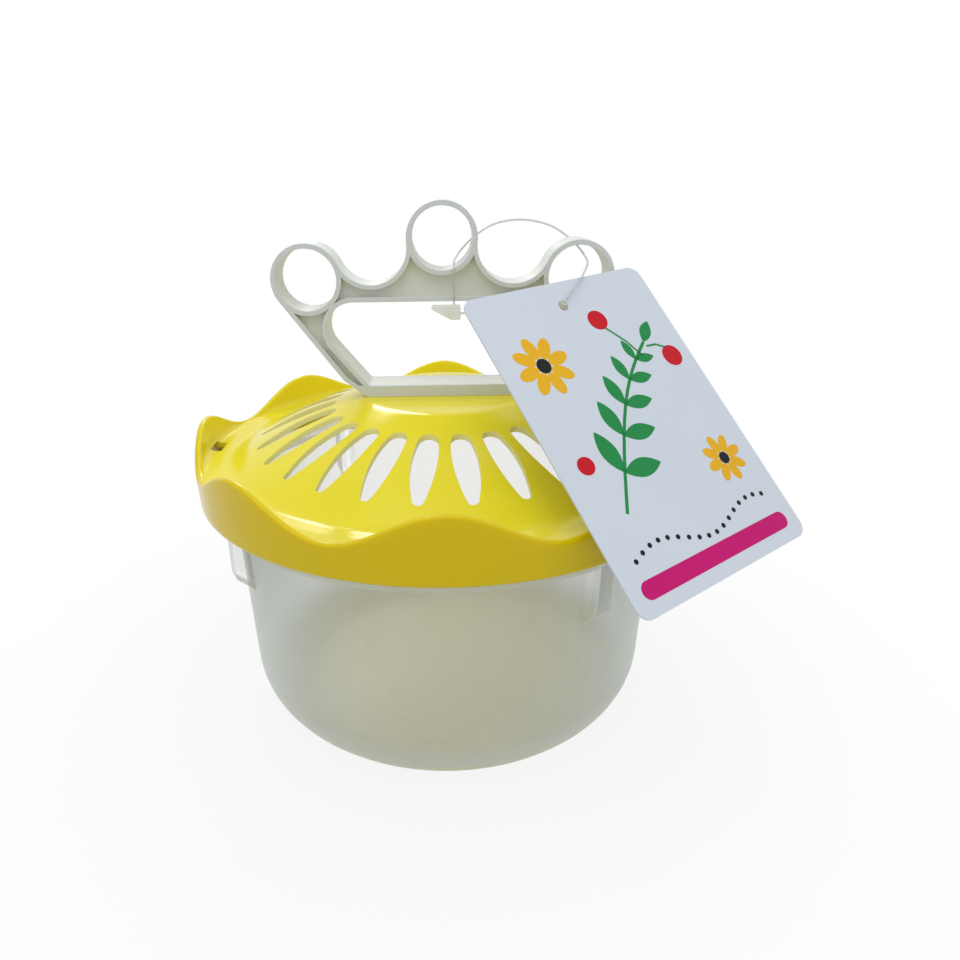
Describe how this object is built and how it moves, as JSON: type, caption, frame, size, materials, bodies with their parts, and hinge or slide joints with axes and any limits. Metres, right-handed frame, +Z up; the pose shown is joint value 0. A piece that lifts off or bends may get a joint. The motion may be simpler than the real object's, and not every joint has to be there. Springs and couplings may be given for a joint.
{
  "type": "insect keeper box",
  "caption": "Round translucent bowl with a vented dome lid that lifts off, an upright crown-shaped carrying handle with finger window, and a hang tag on a clear loop.",
  "frame": {"origin": "centre of the bowl's underside, on the surface that the box stands on", "axes": "+Z up along the axis of the bowl and lid; the carrying handle stands in the XZ plane, -Y is the front"},
  "size_m": [0.1663, 0.1595, 0.155],
  "materials": {
    "frosted_plastic": "translucent, lightly frosted, soft gloss",
    "yellow_plastic": "moulded, soft gloss",
    "white_plastic": "moulded, natural milky white",
    "printed_card": "coated card, printed on the front",
    "clear_thread": "clear nylon",
    "clear_lock": "milky clear moulded"
  },
  "bodies": {
    "bowl": {"bowl": "frosted_plastic"},
    "lid": {"lid": "yellow_plastic", "carrying_handle": "white_plastic", "tag_loop": "clear_thread", "loop_lock": "clear_lock"},
    "tag": {"hang_tag": "printed_card"}
  },
  "joints": [
    {"name": "lid_lift", "type": "slide", "parent": "bowl", "child": "lid", "axis": [0, 0, 1], "range_m": [0, 0.1]},
    {"name": "tag_swing", "type": "hinge", "parent": "lid", "child": "tag", "pos_m": [0.0311, -0.0255, 0.12907], "axis": [-0.6135, -0.7295, -0.3025], "range_deg": [0, 45]}
  ]
}
